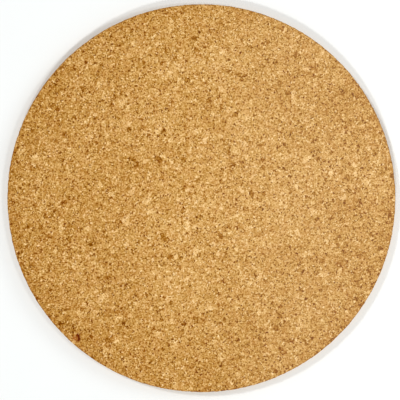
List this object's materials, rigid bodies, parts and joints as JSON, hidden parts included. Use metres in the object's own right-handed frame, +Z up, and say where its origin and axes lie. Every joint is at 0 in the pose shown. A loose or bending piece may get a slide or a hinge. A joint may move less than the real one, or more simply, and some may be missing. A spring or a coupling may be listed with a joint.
{
  "type": "cork bulletin board",
  "caption": "Round frameless bulletin board of pressed cork granules, held to a wall by peel-and-stick foam mounting pads on its back.",
  "frame": {"origin": "centre of the middle mounting pad's wall face, in the plane of the wall", "axes": "+Z up, +X to the right as seen from the front, +Y into the wall; the cork face looks along -Y"},
  "size_m": [0.305, 0.0113, 0.305],
  "materials": {
    "cork": "matt pressed cork granules",
    "foam": "closed-cell polyethylene foam",
    "adhesive": "tacky clear acrylic film",
    "liner": "waxed release paper"
  },
  "bodies": {
    "board": {"cork_disc": "cork", "board_adhesive_centre": "adhesive", "foam_pad_centre": "foam", "wall_adhesive_centre": "adhesive", "board_adhesive_upper_right": "adhesive", "foam_pad_upper_right": "foam", "wall_adhesive_upper_right": "adhesive", "board_adhesive_upper_left": "adhesive", "foam_pad_upper_left": "foam", "wall_adhesive_upper_left": "adhesive", "board_adhesive_lower_left": "adhesive", "foam_pad_lower_left": "foam", "wall_adhesive_lower_left": "adhesive", "board_adhesive_lower_right": "adhesive", "foam_pad_lower_right": "foam", "wall_adhesive_lower_right": "adhesive"},
    "liner_centre": {"release_liner_centre": "liner"},
    "liner_upper_right": {"release_liner_upper_right": "liner"},
    "liner_upper_left": {"release_liner_upper_left": "liner"},
    "liner_lower_left": {"release_liner_lower_left": "liner"},
    "liner_lower_right": {"release_liner_lower_right": "liner"}
  },
  "joints": [
    {"name": "peel_centre", "type": "slide", "parent": "board", "child": "liner_centre", "axis": [0, 1, 0], "range_m": [0, 0.025]},
    {"name": "peel_upper_right", "type": "slide", "parent": "board", "child": "liner_upper_right", "axis": [0, 1, 0], "range_m": [0, 0.025]},
    {"name": "peel_upper_left", "type": "slide", "parent": "board", "child": "liner_upper_left", "axis": [0, 1, 0], "range_m": [0, 0.025]},
    {"name": "peel_lower_left", "type": "slide", "parent": "board", "child": "liner_lower_left", "axis": [0, 1, 0], "range_m": [0, 0.025]},
    {"name": "peel_lower_right", "type": "slide", "parent": "board", "child": "liner_lower_right", "axis": [0, 1, 0], "range_m": [0, 0.025]}
  ]
}
